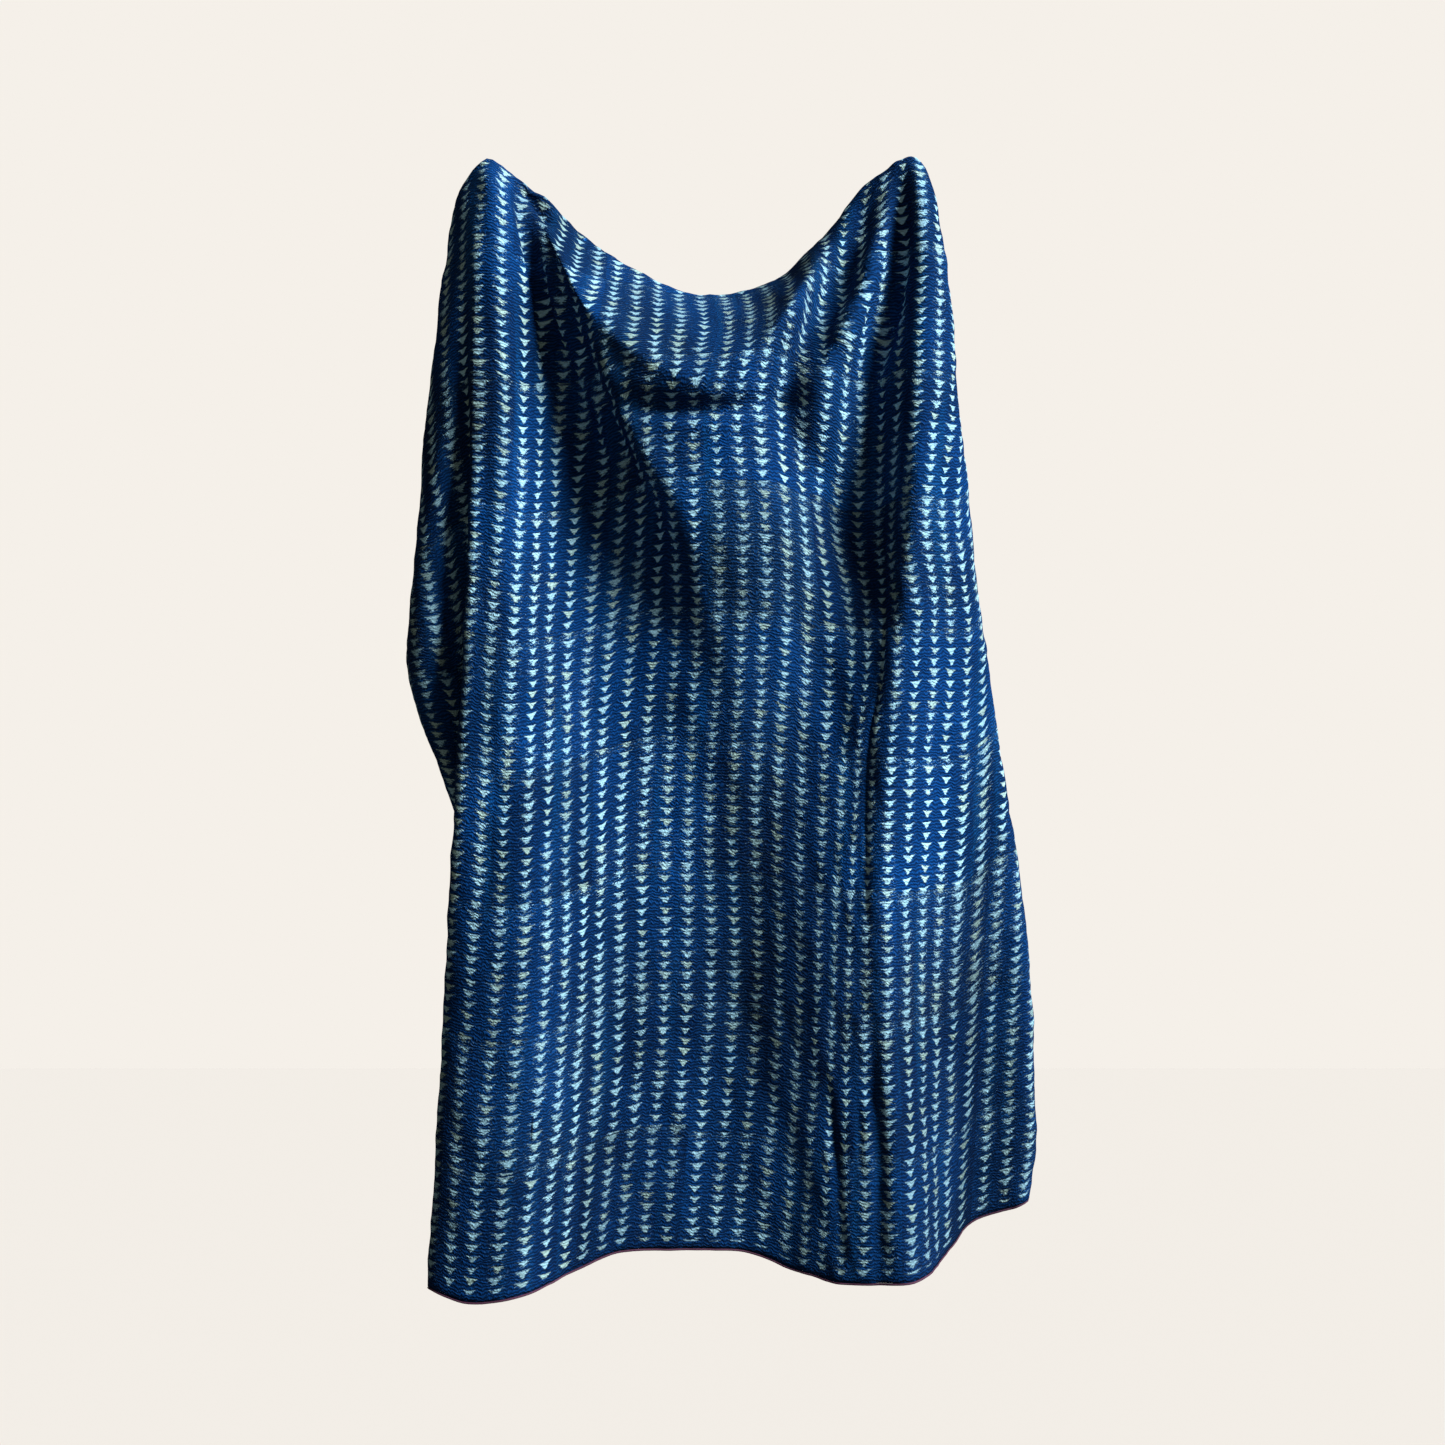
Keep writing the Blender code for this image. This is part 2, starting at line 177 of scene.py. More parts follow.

# Creases, troughs where less than 0: height, reach to the path's left and right, and the path as
# places across and up
CREASES = (
    (-0.0070, 0.013, 0.008, (
        (0.190, 1.075), (0.220, 1.066), (0.249, 1.047), (0.299, 1.031), (0.349, 1.027),
        (0.403, 1.029), (0.476, 1.056), (0.515, 1.080),
    )),
    (0.0080, 0.017, 0.016, (
        (0.196, 1.120), (0.230, 1.090), (0.270, 1.068), (0.322, 1.054), (0.370, 1.049),
        (0.430, 1.056),
    )),
    (0.0040, 0.006, 0.014, (
        (0.196, 1.062), (0.222, 1.049), (0.249, 1.032), (0.299, 1.016), (0.349, 1.012),
        (0.403, 1.014), (0.470, 1.036),
    )),
    (-0.0045, 0.008, 0.010, (
        (0.583, 1.320), (0.562, 1.294), (0.539, 1.227), (0.514, 1.161), (0.484, 1.074),
    )),
    (0.0070, 0.010, 0.009, ((0.597, 1.300), (0.570, 1.222), (0.533, 1.150), (0.535, 1.108))),
    (-0.0120, 0.012, 0.014, (
        (0.640, 1.330), (0.631, 1.274), (0.616, 1.203), (0.601, 1.158), (0.583, 1.115),
        (0.576, 1.062),
    )),
    (-0.0135, 0.042, 0.007, (
        (0.076, 1.365), (0.107, 1.275), (0.124, 1.228), (0.157, 1.152), (0.199, 1.063),
        (0.219, 0.991), (0.263, 0.901), (0.280, 0.830),
    )),
    (-0.0130, 0.015, 0.010, (
        (0.056, 1.385), (0.066, 1.330), (0.080, 1.260), (0.095, 1.180), (0.105, 1.120),
    )),
    (-0.0140, 0.010, 0.009, ((0.064, 1.377), (0.084, 1.356), (0.112, 1.332))),
    (-0.0060, 0.009, 0.009, ((0.604, 0.330), (0.608, 0.218), (0.614, 0.148), (0.614, -0.02))),
    (-0.0045, 0.008, 0.008, ((0.534, 0.240), (0.553, 0.133), (0.568, 0.020))),
    (-0.0030, 0.006, 0.006, ((0.585, 0.215), (0.587, 0.187), (0.589, 0.125))),
    (-0.0040, 0.004, 0.004, (
        (0.606, 1.000), (0.604, 0.885), (0.599, 0.798), (0.596, 0.724), (0.587, 0.677),
        (0.586, 0.627), (0.592, 0.540), (0.600, 0.400),
    )),
)
# How bluntly a crease dies away at its ends, less being blunter
CREASE_TAPER = 0.6

# The hem's right corner, drawn in and up: how far across and up, and its reach across and up
CORNER_IN = 0.014
CORNER_UP = 0.026
CORNER_ACROSS = 0.060
CORNER_ALONG = 0.100

# The camera, at the eye: its sensor in millimetres, and the frame's width at the holding points
CAMERA_SENSOR = 36.0
FRAME_WIDTH = 1.80625

# The floor and the lights: place, strength, colour, and the sun's angle or the disk's width
FLOOR_HEIGHT = -2.4
FLOOR_SIZE = 14.0
LIT_PLACE = (0.29, 0.0, -0.7)
KEY_LIGHT = ((2.09, -1.039, 0.5), 7.8, (0.93, 0.97, 1.0), math.radians(26))
FRONT_LIGHT = ((0.0, -3.4, 0.4), 3.0, (1.0, 0.98, 0.95), 1.6)
FILL_STRENGTH = 0.11

# Distance to the right of the left holding point
ACROSS = {
    # fold           top  shelf bulge crease chest waist middle lower hem
    "left_hidden": (88, 82, 75, 58, 46, 42, 95, 92, 80),
    "left_behind": (-12, -22, -30, -50, -61, -68, -8, -10, -22),
    "left_turn": (-36, -48, -55, -79, -89, -98, -38, -40, -52),
    "left_strip": (-26, -34, -39, -55, -67, -72, -27, -32, -45),
    "left_pleat": (-18, -22, -25, -24, -18, -16, -8, -15, -32),
    "left_edge": (-9, -12, -16, -20, -23, -29, -41, -55, -75),
    "left_face": (-5, -5, -5, -5, -5, -5, -5, -12, -25),
    "left_ridge": (1, 3, 8, 16, 22, 30, 48, 55, 35),
    "left_wall": (19, 30, 45, 81, 99, 112, 160, 150, 100),
    "left_foot": (28, 42, 58, 118, 175, 202, 232, 215, 160),
    "left_shoulder": (68, 70, 84, 153, 236, 280, 285, 280, 235),
    "swag_left": (118, 120, 128, 200, 277, 312, 318, 315, 278),
    "swag_low_left": (196, 185, 190, 252, 313, 340, 345, 340, 318),
    "swag_low": (271, 268, 265, 296, 335, 360, 364, 360, 350),
    "swag_low_right": (352, 345, 340, 324, 357, 380, 386, 382, 378),
    "swag_right": (430, 415, 400, 350, 378, 396, 404, 404, 405),
    "right_hollow": (468, 468, 436, 374, 408, 424, 428, 424, 432),
    "right_rib": (492, 498, 472, 416, 442, 452, 450, 445, 467),
    "right_valley": (511, 517, 503, 476, 485, 484, 470, 468, 496),
    "right_ridge": (531, 539, 544, 538, 532, 518, 498, 500, 532),
    "right_step": (544, 552, 562, 569, 576, 578, 575, 574, 576),
    "right_side": (549, 559, 571, 581, 594, 604, 616, 620, 606),
    "right_turn": (551, 561, 574, 586, 601, 614, 641, 672, 685),
    "right_behind": (524, 534, 547, 560, 575, 588, 615, 646, 660),
    "right_hidden": (440, 448, 458, 470, 485, 498, 525, 556, 570),
}

# Distance below the holding points
DOWN = {
    # fold           top  shelf bulge crease hem
    "left_hidden": (125, 160, 205, 390, 1385),
    "left_behind": (75, 116, 168, 372, 1392),
    "left_turn": (49, 94, 148, 354, 1405),
    "left_strip": (26, 69, 131, 335, 1416),
    "left_pleat": (14, 51, 124, 316, 1421),
    "left_edge": (5, 39, 119, 304, 1412),
    "left_face": (1, 34, 117, 300, 1431),
    "left_ridge": (0, 31, 116, 298, 1424),
    "left_wall": (9, 49, 126, 304, 1395),
    "left_foot": (17, 59, 144, 308, 1368),
    "left_shoulder": (43, 72, 122, 310, 1364),
    "swag_left": (93, 132, 179, 315, 1364),
    "swag_low_left": (144, 180, 229, 319, 1366),
    "swag_low": (168, 206, 254, 318, 1375),
    "swag_low_right": (152, 186, 224, 311, 1388),
    "swag_right": (84, 120, 158, 304, 1396),
    "right_hollow": (36, 81, 159, 291, 1405),
    "right_rib": (19, 64, 159, 291, 1408),
    "right_valley": (6, 49, 154, 291, 1408),
    "right_ridge": (-4, 34, 131, 291, 1406),
    "right_step": (4, 41, 134, 291, 1364),
    "right_side": (14, 54, 139, 294, 1329),
    "right_turn": (26, 69, 149, 298, 1304),
    "right_behind": (58, 100, 176, 310, 1298),
    "right_hidden": (140, 172, 232, 345, 1290),
}

# Distance in front of the plane of the holding points
FORWARD = {
    # fold           top  shelf bulge crease chest waist middle lower hem
    "left_hidden": (-58, -62, -68, -76, -81, -84, -86, -84, -70),
    "left_behind": (-44, -48, -54, -62, -67, -70, -72, -70, -58),
    "left_turn": (-8, -6, -2, 12, 32, 42, -34, -38, -30),
    "left_strip": (4, 14, 24, 42, 51, 60, -18, -22, -8),
    "left_pleat": (8, 25, 37, 44, 36, 28, -10, -8, 12),
    "left_edge": (10, 32, 48, 64, 80, 88, 87, 76, 84),
    "left_face": (11, 37, 51, 66, 82, 91, 95, 102, 110),
    "left_ridge": (12, 40, 55, 71, 85, 93, 98, 106, 114),
    "left_wall": (6, 20, 36, 20, 15, 28, 39, 42, 72),
    "left_foot": (2, 12, 28, 10, 19, 30, 30, 36, 50),
    "left_shoulder": (-8, 8, 60, 80, 86, 61, 38, 36, 46),
    "swag_left": (-24, 22, 76, 83, 90, 64, 46, 36, 46),
    "swag_low_left": (-42, 22, 86, 87, 91, 61, 48, 44, 47),
    "swag_low": (-48, 24, 89, 88, 89, 57, 51, 52, 52),
    "swag_low_right": (-40, 20, 81, 84, 84, 52, 56, 60, 61),
    "swag_right": (-22, 14, 56, 73, 70, 48, 60, 68, 74),
    "right_hollow": (-8, 4, 20, 57, 38, 43, 66, 74, 87),
    "right_rib": (0, 18, 50, 76, 4, 46, 71, 79, 98),
    "right_valley": (6, 8, 10, 12, 10, 59, 76, 84, 106),
    "right_ridge": (8, 26, 40, 62, 76, 80, 86, 88, 110),
    "right_step": (4, 14, 26, 42, 42, 40, 34, 24, -16),
    "right_side": (-2, 6, 16, 26, 19, 14, 14, 10, -34),
    "right_turn": (-12, -6, 0, 0, -7, -8, 2, 4, -36),
    "right_behind": (-58, -64, -72, -84, -88, -88, -92, -98, -112),
    "right_hidden": (-104, -106, -108, -112, -115, -115, -112, -115, -122),
}

# Width of cloth up to each fold beyond the length of its level's smooth section: more where small
# puckers take cloth up, and less where the section swings wider than the cloth does
TAKEN_UP = {
    # fold           top shelf bulge crease chest waist middle lower hem
    "left_face": (0, 0, 0, -6, 0, 2, 0, -5, 4),
    "left_ridge": (0, 0, 0, -7, 0, 5, 2, -9, -3),
    "left_wall": (0, 0, 0, 0, 0, 10, 25, -2, -6),
    "left_foot": (0, 0, 0, -4, 0, 14, 26, 0, 6),
    "left_shoulder": (0, 0, 0, -15, -6, 17, 32, 3, 10),
    "swag_left": (0, 0, 3, -9, -7, 20, 32, 3, 11),
    "swag_low_left": (0, 3, 3, -7, -6, 22, 33, 3, 13),
    "swag_low": (3, 3, 12, -2, -6, 23, 35, 3, 11),
    "swag_low_right": (12, 12, 13, 0, -4, 24, 35, 5, 9),
    "swag_right": (12, 20, 10, -3, -3, 25, 37, 9, 15),
    "right_hollow": (0, 30, 13, -10, -7, 25, 41, 18, 21),
    "right_rib": (9, 34, 6, -12, -10, 27, 50, 32, 24),
    "right_valley": (9, 31, -10, -28, -9, 41, 65, 41, 22),
    "right_ridge": (23, 28, -10, -25, -12, 57, 75, 44, 21),
    "right_step": (23, 28, -10, -25, -12, 59, 74, 49, -25),
    "right_side": (23, 28, -10, -27, -12, 59, 74, 48, -31),
    "right_turn": (23, 28, -10, -27, -12, 59, 74, 50, -30),
    "right_behind": (15, 18, -7, -18, -8, 39, 50, 33, -20),
    "right_hidden": (8, 9, -3, -9, -4, 20, 25, 17, -10),
}


def smooth(knots, values, at):
    """A smooth curve through the values at the knots, read at the places asked for."""
    step = np.diff(knots)[:, None]
    slope = np.diff(values, axis=0) / step
    tangent = np.concatenate([slope[:1], slope[:1], slope[1:]])
    tangent[1:-1] = (slope[:-1] * step[1:] + slope[1:] * step[:-1]) / (step[:-1] + step[1:])
    span = np.clip(np.searchsorted(knots, at, side="right") - 1, 0, len(knots) - 2)
    part = ((at - knots[span]) / step[span, 0])[:, None]
    start, end = values[span], values[span + 1]
    leave, arrive = tangent[span] * step[span], tangent[span + 1] * step[span]
    rest = 1.0 - part
    return (
        start * (1 + 2 * part) * rest**2
        + end * (3 - 2 * part) * part**2
        + leave * part * rest**2
        - arrive * part**2 * rest
    )


def in_space(across, down, forward):
    """The point in metres that is seen at this place, this far in front of the holding points."""
    scale = (EYE_DISTANCE - forward) / EYE_DISTANCE
    return np.stack(
        [
            EYE_ACROSS + (across - EYE_ACROSS) * scale,
            -forward,
            (EYE_DOWN - down) * scale - EYE_DOWN,
        ],
        axis=-1,
    )


def fold_points():
    """The points of every fold at every level, as an array of folds by levels by three."""
    share = np.array(list(BELOW_CREASE.values()))
    points = []
    for fold, across in ACROSS.items():
        top, shelf, bulge, crease, hem = DOWN[fold]
        below = crease + share * (hem - crease)
        down = np.concatenate([[top + FOLD_RISE / MM, shelf, bulge], below])
        points.append(in_space(np.array(across) * MM, down * MM, np.array(FORWARD[fold]) * MM))
    return np.array(points)


def outline(points):
    """A level's smooth section through its folds: points, distances along it, and the folds' own."""
    chord = np.linalg.norm(np.diff(points, axis=0), axis=1)
    knots = np.concatenate([[0.0], np.cumsum(np.sqrt(chord))])
    places = np.unique(np.concatenate([knots, np.linspace(0.0, knots[-1], SECTION_POINTS)]))
    curve = smooth(knots, points, places)
    along = np.concatenate([[0.0], np.cumsum(np.linalg.norm(np.diff(curve, axis=0), axis=1))])
    at_folds = along[np.searchsorted(places, knots)]
    edge_fold = list(ACROSS).index("left_edge")
    return curve, along - at_folds[edge_fold], at_folds - at_folds[edge_fold]


def section(points, fold_widths, widths):
    """One row of the cloth, read at these distances across it from the left edge fold."""
    curve, along, at_folds = outline(points)
    along = np.interp(along, at_folds, fold_widths)
    # Past the last folds the hidden cloth runs on inward, level in depth
    ends = np.array([curve[0] - points[1], curve[-1] - points[-2]]) * [1, 0, 1]
    ends *= CLOTH_WIDTH / np.linalg.norm(ends, axis=1)[:, None]
    curve = np.concatenate([[curve[0] + ends[0]], curve, [curve[-1] + ends[1]]])
    along = np.concatenate([[along[0] - CLOTH_WIDTH], along, [along[-1] + CLOTH_WIDTH]])
    return np.stack([np.interp(widths, along, curve[:, axis]) for axis in range(3)], axis=1)


def level_widths(folds, level):
    """Distances of the folds across the cloth at a level, whose slope the rows follow in part."""
    taken_up = np.array([TAKEN_UP[fold][level] if fold in TAKEN_UP else 0 for fold in ACROSS]) * MM
    low = list(ACROSS).index(LOW_POINT)
    follow = np.full(len(folds), ROWS_FOLLOW["right"][level])
    follow[:low] = ROWS_FOLLOW["left"][level]
    points = folds[:, level].copy()
    points[:, 2] = points[low, 2] + (points[:, 2] - points[low, 2]) * follow
    return outline(points)[2] + taken_up


def front_rows(widths, levels):
    """Rows of points down the front, from the top fold to the hem."""
    folds = fold_points()
    knots = np.array(LEVEL_AT)
    paths = np.array([smooth(knots, fold, levels) for fold in folds])
    fold_widths = np.array([level_widths(folds, level) for level in range(len(LEVELS))])
    fold_widths = smooth(knots, fold_widths, levels)
    return np.array([section(paths[:, row], fold_widths[row], widths) for row in range(len(levels))])


def flap_rows(front, widths):
    """Rows over the top fold and down the flap behind, whose length is what the front leaves."""
    front_length = np.linalg.norm(np.diff(front, axis=0), axis=2).sum(axis=0)
    tangent = np.gradient(front[0], widths, axis=0)
    inward = np.stack([-tangent[:, 1], tangent[:, 0], np.zeros(len(widths))], axis=1)
    inward /= np.linalg.norm(inward, axis=1)[:, None]
    upward = front[0] - front[1]
    start = np.arctan2(upward[:, 2], (upward * inward).sum(axis=1))
    turn = (start + math.pi / 2) / FOLD_STEPS
    rows = [front[0]]
    for step in range(FOLD_STEPS):
        angle = (start - (step + 0.5) * turn)[:, None]
        heading = inward * np.cos(angle) + np.array([0, 0, 1]) * np.sin(angle)
        rows.append(rows[-1] + heading * (FOLD_RADIUS * turn)[:, None])
    over = np.linalg.norm(np.diff(rows, axis=0), axis=2).sum(axis=0)
    drop = CLOTH_LENGTH - front_length - over
    pleat = np.sin(2 * math.pi * widths / FLAP_PLEAT_WIDTH)
    hang = rows[-1]
    for step in range(1, FLAP_STEPS + 1):
        fallen = drop * step / FLAP_STEPS
        swell = FLAP_PLEAT_DEPTH * np.clip(fallen / FLAP_PLEAT_START, 0, 1) * pleat
        rows.append(hang + inward * swell[:, None] - np.array([0, 0, 1]) * fallen[:, None])
    return np.array(rows[1:])


def surface_normals(rows):
    """The unit normal of the middle surface at each point of its grid."""
    normals = np.cross(np.gradient(rows, axis=0), np.gradient(rows, axis=1))
    return normals / np.linalg.norm(normals, axis=2)[:, :, None]


def edge_walk(down, across):
    """The grid places round the cloth's edge, in order."""
    walk = [(0, j) for j in range(across)]
    walk += [(i, across - 1) for i in range(1, down)]
    walk += [(down - 1, j) for j in range(across - 2, -1, -1)]
    walk += [(i, 0) for i in range(down - 2, 0, -1)]
    return walk


def uneven(across, along):
    """Height of the cloth's soft unevenness at these places on it, in metres."""
    chance = random.Random(UNEVEN_SEED)
    height = np.zeros(np.broadcast(across, along).shape)
    for size_across, size_along, rise in UNEVEN:
        for _ in range(UNEVEN_WAVES):
            turn = chance.uniform(-0.5, 0.5)
            wide = across * math.cos(turn) + along * math.sin(turn)
            tall = along * math.cos(turn) - across * math.sin(turn)
            phase = 2 * math.pi * (wide / size_across * chance.uniform(0.6, 1.4) + chance.random())
            phase_along = 2 * math.pi * (tall / size_along * chance.uniform(0.6, 1.4) + chance.random())
            height += rise / 2 * np.sin(phase) * np.sin(phase_along)
    return height


def crease_height(across, along):
    """Height of the listed creases at these places on the cloth, in metres."""
    height = np.zeros(np.broadcast(across, along).shape)
    for rise, reach_first, reach_second, path in CREASES:
        lengths = [math.dist(start, end) for start, end in zip(path, path[1:])]
        nearest = np.full(height.shape, np.inf)
        second = np.zeros(height.shape, bool)
        share = np.zeros(height.shape)
        done = 0.0
        for (start_u, start_v), (end_u, end_v), length in zip(path, path[1:], lengths):
            step_u, step_v = (end_u - start_u) / length, (end_v - start_v) / length
            off_u, off_v = across - start_u, along - start_v
            place = np.clip(off_u * step_u + off_v * step_v, 0.0, length)
            away = np.hypot(off_u - place * step_u, off_v - place * step_v)
            side = off_u * step_v - off_v * step_u > 0
            closer = away < nearest
            nearest = np.where(closer, away, nearest)
            second = np.where(closer, side, second)
            share = np.where(closer, (done + place) / sum(lengths), share)
            done += length
        reach = np.where(second, reach_second, reach_first)
        height += rise * np.sin(math.pi * share) ** CREASE_TAPER * np.exp(-((nearest / reach) ** 2))
    return height


def round_corner(rows, widths, along):
    """Draws in the lowest part of the right turn, which rounds the hem's corner in the front view."""
    corner = widths[np.argmax(rows[-1, :, 0])]
    near = np.clip(1 - np.abs(widths - corner) / CORNER_ACROSS, 0, 1)[None, :]
    low = np.clip(1 - along / CORNER_ALONG, 0, 1)
    rows = rows.copy()
    rows[:, :, 0] -= CORNER_IN * np.sqrt(near) * low**2
    rows[:, :, 2] += CORNER_UP * near**3 * low**2
    return rows


def cloth_columns():
    """Places across the cloth of the grid's columns, closer together over the sharp creases."""
    even = np.linspace(-LEFT_OF_EDGE_FOLD, CLOTH_WIDTH - LEFT_OF_EDGE_FOLD, COLUMNS)
    halves = (even[1:] + even[:-1]) / 2
    close = [place for place in halves if any(start < place < end for start, end in CLOSE_PARTS)]
    return np.sort(np.concatenate([even, close]))


def cloth_grid():
    """The cloth's middle surface as a fine grid, with the distance up from the front hem of each row."""
    widths = cloth_columns()
    front = front_rows(widths, level_places())
    rows = np.concatenate([flap_rows(front, widths)[::-1], front])
    steps = np.linalg.norm(np.diff(rows, axis=0), axis=2)[::-1]
    along = np.concatenate([np.zeros((1, len(widths))), np.cumsum(steps, axis=0)])[::-1]
    height = uneven(widths[None, :], along) + crease_height(widths[None, :], along)
    rows = rows + surface_normals(rows) * height[:, :, None]
    return round_corner(rows, widths, along), widths, along


def level_places():
    """Places of the front's rows between the top fold and the hem, evenly spaced down the cloth."""
    lengths = np.array(LENGTHS_BETWEEN_LEVELS)
    counts = np.maximum(2, np.round(lengths / lengths.sum() * FRONT_ROWS)).astype(int)
    places = []
    for start, end, count in zip(LEVEL_AT, LEVEL_AT[1:], counts):
        places.extend(np.linspace(start, end, count, endpoint=False))
    return np.array(places + [LEVEL_AT[-1]])


def mesh_object(name, points, faces, uvs, material):
    """A smooth mesh with a UV place in metres for each point."""
    mesh = bpy.data.meshes.new(name)
    mesh.from_pydata([tuple(point) for point in points], [], faces)
    layer = mesh.uv_layers.new(name="cloth_metres")
    loop_points = np.empty(len(mesh.loops), np.int32)
    mesh.loops.foreach_get("vertex_index", loop_points)
    layer.data.foreach_set("uv", np.asarray(uvs, np.float32)[loop_points].ravel())
    mesh.materials.append(material)
    mesh.shade_smooth()
    thing = bpy.data.objects.new(name, mesh)
    bpy.context.scene.collection.objects.link(thing)
    return thing


def make_cloth(rows, normals, widths, along, material):
    """The cloth: a front and a back surface over one grid, joined round the edge."""
    down, across = rows.shape[:2]
    half = CLOTH_THICKNESS / 2
    points = np.concatenate([(rows + normals * half).reshape(-1, 3), (rows - normals * half).reshape(-1, 3)])
    places = np.stack([np.broadcast_to(widths, along.shape), along], axis=2).reshape(-1, 2)
    behind = down * across
    faces = []
    for i in range(down - 1):
        for j in range(across - 1):
            corner = i * across + j
            quad = (corner, corner + across, corner + across + 1, corner + 1)
            faces.append(quad)
            faces.append(tuple(behind + place for place in reversed(quad)))
    walk = [i * across + j for i, j in edge_walk(down, across)]
    for here, following in zip(walk, walk[1:] + walk[:1]):
        faces.append((here, following, behind + following, behind + here))
    return mesh_object("quilted_cloth", points, faces, np.concatenate([places, places]), material)


class Graph:
    """Shorthand for building a material's nodes."""

    def __init__(self, name):
        self.material = bpy.data.materials.new(name)
        self.material.use_nodes = True
        self.tree = self.material.node_tree
        self.shader = self.tree.nodes["Principled BSDF"]

    def node(self, kind, inputs=(), **settings):
        made = self.tree.nodes.new(kind)
        for key, value in settings.items():
            setattr(made, key, value)
        for key, value in dict(inputs).items():
            self.put(made.inputs[key], value)
        return made

    def put(self, socket, value):
        if isinstance(value, bpy.types.NodeSocket):
            self.tree.links.new(value, socket)
        else:
            socket.default_value = value

    def math(self, operation, *values, clamp=False):
        made = self.node("ShaderNodeMath", operation=operation, use_clamp=clamp)
        for socket, value in zip(made.inputs, values):
            self.put(socket, value)
        return made.outputs[0]

    def add(self, a, b):
        return self.math("ADD", a, b)

    def sub(self, a, b):
        return self.math("SUBTRACT", a, b)

    def mul(self, a, b):
        return self.math("MULTIPLY", a, b)

    def div(self, a, b):
        return self.math("DIVIDE", a, b)

    def vector(self, x=0.0, y=0.0, z=0.0):
        return self.node("ShaderNodeCombineXYZ", {"X": x, "Y": y, "Z": z}).outputs[0]

    def noise(self, x, y, z=0.0, detail=2.0, roughness=0.5):
        """Soft noise from 0 to 1 over a plane whose places are already in units of its size."""
        made = self.node(
            "ShaderNodeTexNoise",
            {"Vector": self.vector(x, y, z), "Scale": 1.0, "Detail": detail, "Roughness": roughness},
        )
        return made.outputs["Fac"]

    def grain(self, x, y, per_x, per_y, z=0.0, **settings):
        """Soft noise with this many patches to each unit of x and of y."""
        return self.noise(self.mul(x, per_x), self.mul(y, per_y), z, **settings)

    def chance(self, x, y, z=0.0):
        """Three even random numbers from 0 to 1 for each whole-numbered place."""
        made = self.node("ShaderNodeTexWhiteNoise", {"Vector": self.vector(x, y, z)})
        parts = self.node("ShaderNodeSeparateColor", {"Color": made.outputs["Color"]})
        return parts.outputs[0], parts.outputs[1], parts.outputs[2]

    def ramp(self, value, start, end, low=0.0, high=1.0):
        """value from start to end, mapped smoothly to low to high and held there outside."""
        made = self.node(
            "ShaderNodeMapRange",
            {"Value": value, "From Min": start, "From Max": end, "To Min": low, "To Max": high},
            interpolation_type="SMOOTHSTEP",
        )
        return made.outputs["Result"]

    def blend(self, share, first, second, mode="MIX"):
        made = self.node("ShaderNodeMix", data_type="RGBA", blend_type=mode)
        for index, value in ((0, share), (6, first), (7, second)):
            if isinstance(value, tuple):
                value = (*value, 1.0)
            self.put(made.inputs[index], value)
        return made.outputs[2]


def rib_height(graph, u, v):
    """Height from 0 to 1 of the rows of running stitches, which pucker the cloth into wavy ribs."""
    sway = graph.grain(u, v, 105.0, 60.0, detail=2.0, roughness=0.6)
    drift = graph.grain(u, v, 9.0, 9.0, 3.0, detail=1.0)
    turns = graph.add(graph.div(v, RIB_PITCH), graph.add(graph.mul(sway, 3.0), graph.mul(drift, 2.0)))
    wave = graph.add(graph.mul(graph.math("SINE", graph.mul(turns, 2 * math.pi)), 0.5), 0.5)
    pucker = graph.grain(u, turns, 190.0, 0.9, 7.0, detail=2.0, roughness=0.6)
    return graph.mul(wave, graph.ramp(pucker, 0.3, 0.72, 0.30, 1.0))


def block_place(graph, u, v):
    """The block at each place, the place in columns and rows of the print, and its block's borders.

    The borders are the distance to the block's foot or head as a share of its height, and a share
    that rises to 1 in its topmost rows.
    """
    columns = graph.div(graph.sub(u, FIRST_COLUMN - COLUMN_PITCH / 2), COLUMN_PITCH)
    across = graph.math("FLOOR", graph.div(graph.sub(columns, FIRST_BLOCK), float(BLOCK_COLUMNS)))
    shift, _, _ = graph.chance(across, 3.0)
    rows = graph.add(graph.div(graph.sub(v, PLAIN_HEM), ROW_PITCH), graph.mul(shift, 0.8))
    blocks = graph.div(graph.sub(rows, FIRST_BLOCK_ROW), float(BLOCK_ROWS))
    up = graph.math("FLOOR", blocks)
    # Each block is set down a little out of line with the one before
    tip, slip, lift = graph.chance(across, up, 5.0)
    middle = graph.add(graph.mul(across, float(BLOCK_COLUMNS)), FIRST_BLOCK + BLOCK_COLUMNS / 2)
    local = graph.sub(columns, middle)
    rows = graph.add(rows, graph.mul(graph.mul(graph.sub(tip, 0.5), local), 0.09))
    rows = graph.add(rows, graph.mul(graph.sub(lift, 0.5), 0.5))
    columns = graph.add(columns, graph.mul(graph.sub(slip, 0.5), 0.16))
    place = graph.math("FRACT", blocks)
    edge = graph.math("MINIMUM", place, graph.sub(1.0, place))
    return across, up, columns, rows, edge, graph.ramp(place, 0.90, 0.98)


def block_looks(graph, across, up):
    """How deep, hazy and flecked the dye of each block is, from 0 to 1."""
    darkening, haze, flecked = (graph.ramp(value, 0.55, 1.0) for value in graph.chance(across, up, 8.0))
    darkening, haze, flecked = graph.mul(darkening, 0.30), graph.mul(haze, 0.25), graph.mul(flecked, 0.6)
    for place_across, place_up, more_deep, more_haze, more_flecked in BLOCK_LOOKS:
        here = graph.mul(
            graph.math("COMPARE", across, float(place_across), 0.1),
            graph.math("COMPARE", up, float(place_up), 0.1),
        )
        darkening = graph.add(darkening, graph.mul(here, more_deep))
        haze = graph.add(haze, graph.mul(here, more_haze))
        flecked = graph.add(flecked, graph.mul(here, more_flecked))
    return darkening, haze, flecked


